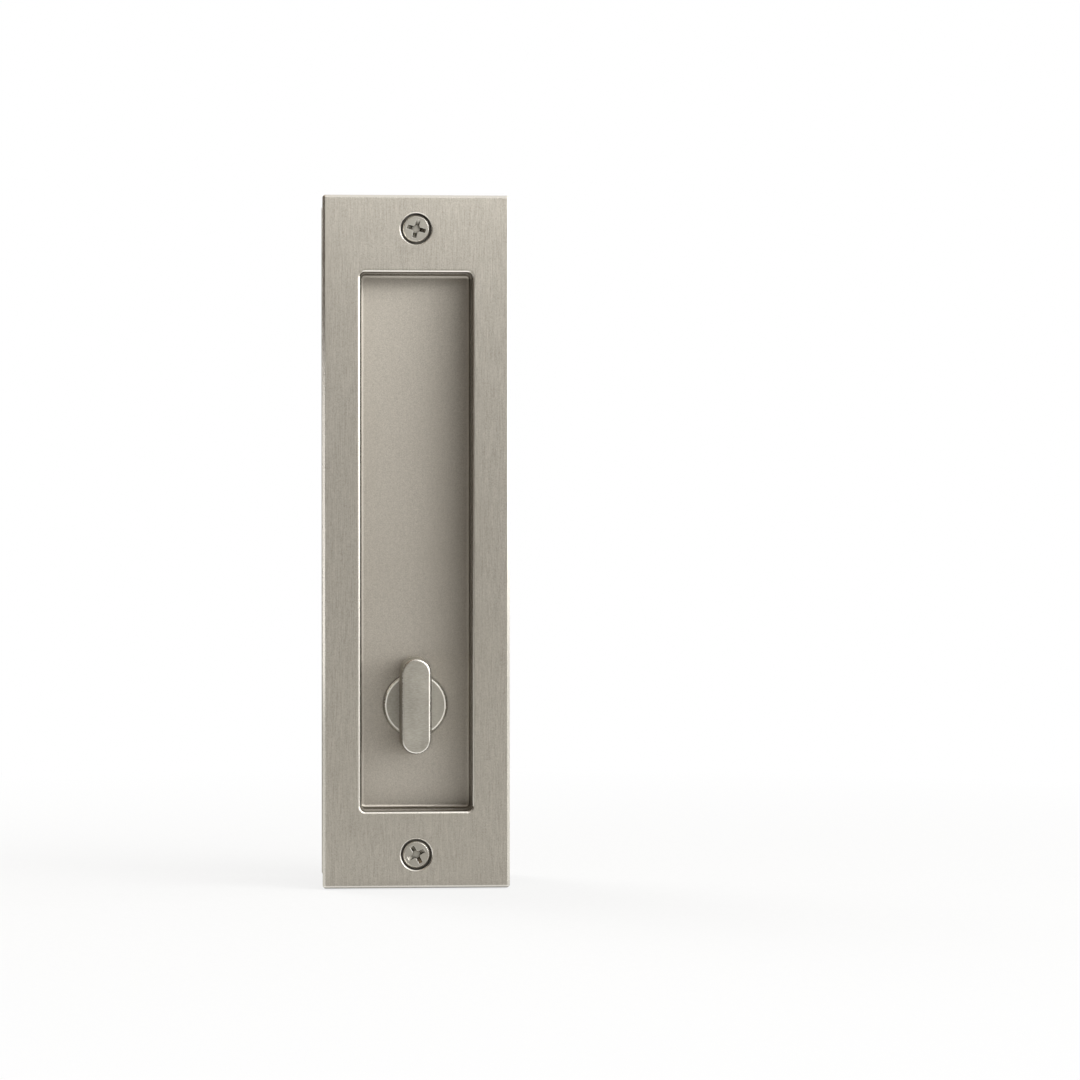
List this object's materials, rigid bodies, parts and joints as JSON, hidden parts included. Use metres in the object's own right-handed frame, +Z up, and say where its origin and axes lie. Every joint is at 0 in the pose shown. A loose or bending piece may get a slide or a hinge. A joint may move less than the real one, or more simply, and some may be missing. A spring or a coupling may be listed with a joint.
{
  "type": "pocket door pull",
  "caption": "Privacy pull for a sliding pocket door: flush face plates with recessed finger cups, a thumb turn inside and a slotted coin turn outside.",
  "frame": {"origin": "middle of the door's thickness at the centre of the face plates", "axes": "+X to the right as seen from the inside, +Y through the door from inside to outside, +Z up"},
  "size_m": [0.0516, 0.0414, 0.1906],
  "materials": {
    "plate_nickel": "satin nickel, brushed along the plate's height",
    "turn_nickel": "satin nickel, fine satin on small pieces",
    "spindle_steel": "zinc plated steel bar",
    "screw_nickel": "nickel plated machine screw",
    "post_steel": "zinc plated turned steel",
    "bushing_nylon": "natural nylon",
    "spring_steel": "dark phosphated spring steel",
    "washer_steel": "zinc plated steel"
  },
  "bodies": {
    "plates": {"inside_plate": "plate_nickel", "outside_plate": "plate_nickel", "upper_screw": "screw_nickel", "lower_screw": "screw_nickel", "upper_post": "post_steel", "lower_post": "post_steel", "inside_bushing": "bushing_nylon", "outside_bushing": "bushing_nylon", "inside_spring_washer": "spring_steel", "outside_spring_washer": "spring_steel", "inside_flat_washer": "washer_steel", "outside_flat_washer": "washer_steel"},
    "thumb_turn": {"thumb_turn": "turn_nickel", "spindle": "spindle_steel", "inside_retaining_ring": "spring_steel"},
    "coin_turn": {"coin_turn": "turn_nickel", "outside_retaining_ring": "spring_steel"}
  },
  "joints": [
    {"name": "thumb_turn_pivot", "type": "hinge", "parent": "plates", "child": "thumb_turn", "pos_m": [0, 0, -0.0453], "axis": [0, 1, 0], "range_deg": [-90, 90]},
    {"name": "coin_turn_pivot", "type": "hinge", "parent": "plates", "child": "coin_turn", "pos_m": [0, 0, -0.0453], "axis": [0, 1, 0], "range_deg": [-90, 90]}
  ],
  "couplings": [
    {"joint": "coin_turn_pivot", "follows": "thumb_turn_pivot", "ratio": 1}
  ]
}
